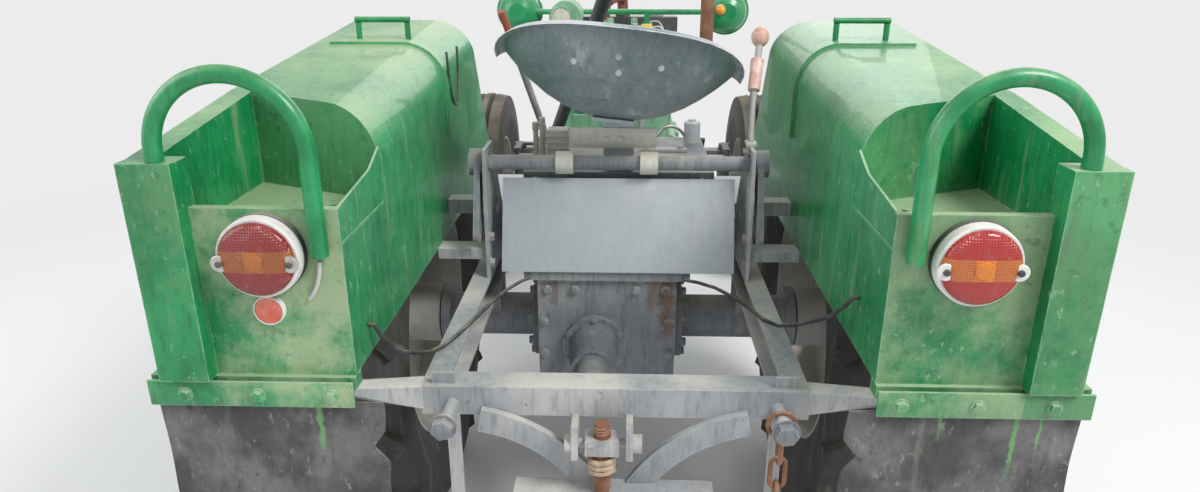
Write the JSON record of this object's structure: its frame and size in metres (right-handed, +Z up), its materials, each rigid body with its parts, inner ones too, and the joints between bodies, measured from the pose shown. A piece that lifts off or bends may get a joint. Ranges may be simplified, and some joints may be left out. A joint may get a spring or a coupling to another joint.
{
  "type": "vintage farm tractor",
  "caption": "Small open vintage farm tractor with box fenders over the rear wheels, a pan seat, an open engine and a rear hitch with lift arms.",
  "frame": {"origin": "on the ground under the middle of the tractor's box", "axes": "+Y to the front of the tractor, +X to its right, +Z up"},
  "size_m": [1.524, 2.98, 1.598],
  "materials": {
    "grey_frame": "worn grey paint",
    "grey_casting": "grey paint over castings, with rust runs",
    "grey_plate": "grey paint on flat sheet",
    "pale_plate": "pale dusty paint",
    "seat_grey": "worn grey paint on pressed steel",
    "green_paint": "hand brushed green gloss paint",
    "green_pipe": "brushed green paint on pipe",
    "lamp_lens": "ribbed red and amber lens",
    "flap_rubber": "worn black rubber sheet",
    "tyre": "dusty tyre rubber",
    "rim_paint": "worn grey rim paint",
    "bare_steel": "worn bare steel",
    "rusty_iron": "rusty iron",
    "dark_paint": "dark paint",
    "wheel_plastic": "black moulded rim",
    "engine_green": "faded pale green paint",
    "lamp_green": "gloss green paint",
    "lever_paint": "brown red paint, worn",
    "hose_rubber": "faded red hose rubber",
    "cable_sheath": "dusty dark cable sheath"
  },
  "bodies": {
    "root": {"frame": "grey_frame", "rear_beam": "grey_frame", "hitch_braces": "grey_frame", "hitch_screw": "rusty_iron", "gearbox": "grey_casting", "axle_housing": "grey_casting", "back_panel": "grey_plate", "lift_bearings": "pale_plate", "seat_pan": "seat_grey", "seat_bracket": "grey_plate", "fender_left": "green_paint", "fender_right": "green_paint", "grab_handle_left": "green_pipe", "grab_handle_right": "green_pipe", "tail_lamp_left": "lamp_lens", "tail_lamp_right": "lamp_lens", "reflector": "lamp_lens", "mud_flap_left": "flap_rubber", "mud_flap_right": "flap_rubber", "front_axle": "grey_casting", "steering_column": "dark_paint", "engine": "engine_green", "radiator": "dark_paint", "exhaust": "rusty_iron", "headlamps": "lamp_green", "footboards": "grey_plate", "control_levers": "lever_paint", "alternator": "bare_steel", "hoses": "hose_rubber", "pedals": "dark_paint", "cable_left": "cable_sheath", "cable_right": "cable_sheath", "chain": "rusty_iron"},
    "rear_wheel_left": {"rear_rim_left": "rim_paint", "rear_tyre_left": "tyre"},
    "rear_wheel_right": {"rear_rim_right": "rim_paint", "rear_tyre_right": "tyre"},
    "front_wheel_left": {"front_rim_left": "rim_paint", "front_tyre_left": "tyre"},
    "front_wheel_right": {"front_rim_right": "rim_paint", "front_tyre_right": "tyre"},
    "left_knuckle": {"knuckle_left": "grey_casting"},
    "right_knuckle": {"knuckle_right": "grey_casting"},
    "tie_rod": {"tie_rod": "bare_steel"},
    "drag_link": {"drag_link": "bare_steel"},
    "steering_arm": {"steering_arm": "grey_casting"},
    "steering_wheel": {"steering_wheel": "wheel_plastic"},
    "fan": {"fan": "dark_paint"},
    "pto": {"pto_shaft": "bare_steel"},
    "lift": {"lift_shaft": "grey_casting"}
  },
  "joints": [
    {"name": "rear_wheel_left_spin", "type": "hinge", "parent": "root", "child": "rear_wheel_left", "pos_m": [-0.5595, -0.67, 0.53], "axis": [1, 0, 0], "continuous": true},
    {"name": "rear_wheel_right_spin", "type": "hinge", "parent": "root", "child": "rear_wheel_right", "pos_m": [0.5595, -0.67, 0.53], "axis": [1, 0, 0], "continuous": true},
    {"name": "front_wheel_left_spin", "type": "hinge", "parent": "left_knuckle", "child": "front_wheel_left", "pos_m": [-0.61, 1.08, 0.41], "axis": [1, 0, 0], "continuous": true},
    {"name": "front_wheel_right_spin", "type": "hinge", "parent": "right_knuckle", "child": "front_wheel_right", "pos_m": [0.61, 1.08, 0.41], "axis": [1, 0, 0], "continuous": true},
    {"name": "steering_wheel_turn", "type": "hinge", "parent": "root", "child": "steering_wheel", "pos_m": [0, -0.34, 1.43], "axis": [0.2746, -0.6346, 0.7224], "range_deg": [-420, 420]},
    {"name": "left_knuckle_steer", "type": "hinge", "parent": "root", "child": "left_knuckle", "pos_m": [-0.475, 1.08, 0.5], "axis": [0, 0, 1], "range_deg": [-30, 30]},
    {"name": "right_knuckle_steer", "type": "hinge", "parent": "root", "child": "right_knuckle", "pos_m": [0.475, 1.08, 0.5], "axis": [0, 0, 1], "range_deg": [-30, 30]},
    {"name": "tie_rod_swing", "type": "hinge", "parent": "left_knuckle", "child": "tie_rod", "pos_m": [-0.475, 0.955, 0.562], "axis": [0, 0, 1], "range_deg": [-30, 30]},
    {"name": "drag_link_swing", "type": "hinge", "parent": "left_knuckle", "child": "drag_link", "pos_m": [-0.3, 1.08, 0.61], "axis": [0, 0, 1], "range_deg": [-30, 30]},
    {"name": "steering_arm_swing", "type": "hinge", "parent": "root", "child": "steering_arm", "pos_m": [-0.27, 0.18, 0.763], "axis": [1, 0, 0], "range_deg": [-30, 30]},
    {"name": "fan_spin", "type": "hinge", "parent": "root", "child": "fan", "pos_m": [0, 0.77, 0.93], "axis": [0, 1, 0], "continuous": true},
    {"name": "pto_spin", "type": "hinge", "parent": "root", "child": "pto", "pos_m": [-0.055, -1.07, 0.53], "axis": [0, 1, 0], "continuous": true},
    {"name": "lift_swing", "type": "hinge", "parent": "root", "child": "lift", "pos_m": [0, -0.79, 0.969], "axis": [1, 0, 0], "range_deg": [-70, 10]}
  ],
  "couplings": [
    {"joint": "left_knuckle_steer", "follows": "steering_wheel_turn", "ratio": 0.071429},
    {"joint": "right_knuckle_steer", "follows": "steering_wheel_turn", "ratio": 0.071429},
    {"joint": "tie_rod_swing", "follows": "steering_wheel_turn", "ratio": -0.071429},
    {"joint": "drag_link_swing", "follows": "steering_wheel_turn", "ratio": -0.071429},
    {"joint": "steering_arm_swing", "follows": "steering_wheel_turn", "ratio": 0.071429}
  ]
}
